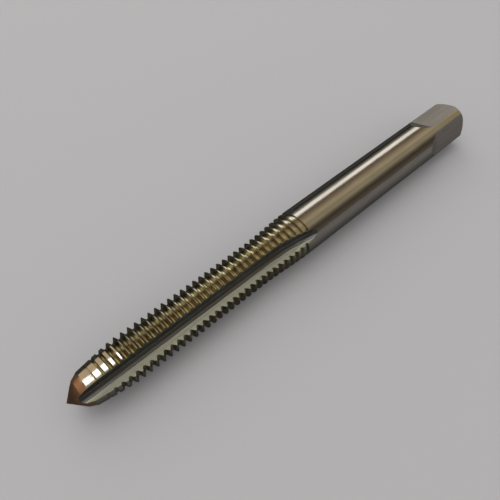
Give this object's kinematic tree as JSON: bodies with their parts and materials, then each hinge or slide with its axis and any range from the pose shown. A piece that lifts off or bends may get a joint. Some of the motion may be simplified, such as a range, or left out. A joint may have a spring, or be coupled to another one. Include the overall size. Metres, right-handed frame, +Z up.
{
  "type": "thread tap",
  "caption": "Straight-fluted hand tap that cuts an internal right-hand metric thread, with a tapered lead, round shank and square drive end.",
  "frame": {"origin": "centre of the tap's footprint on the surface it lies on, under the middle of its length", "axes": "+X along the tap's axis from the point to the driving square, +Z up from the surface"},
  "size_m": [0.06, 0.0054, 0.0055],
  "materials": {
    "ground_steel": "bright ground high speed steel, fine lengthwise and circular grinding marks"
  },
  "bodies": {
    "root": {"thread_tap": "ground_steel"}
  },
  "joints": []
}
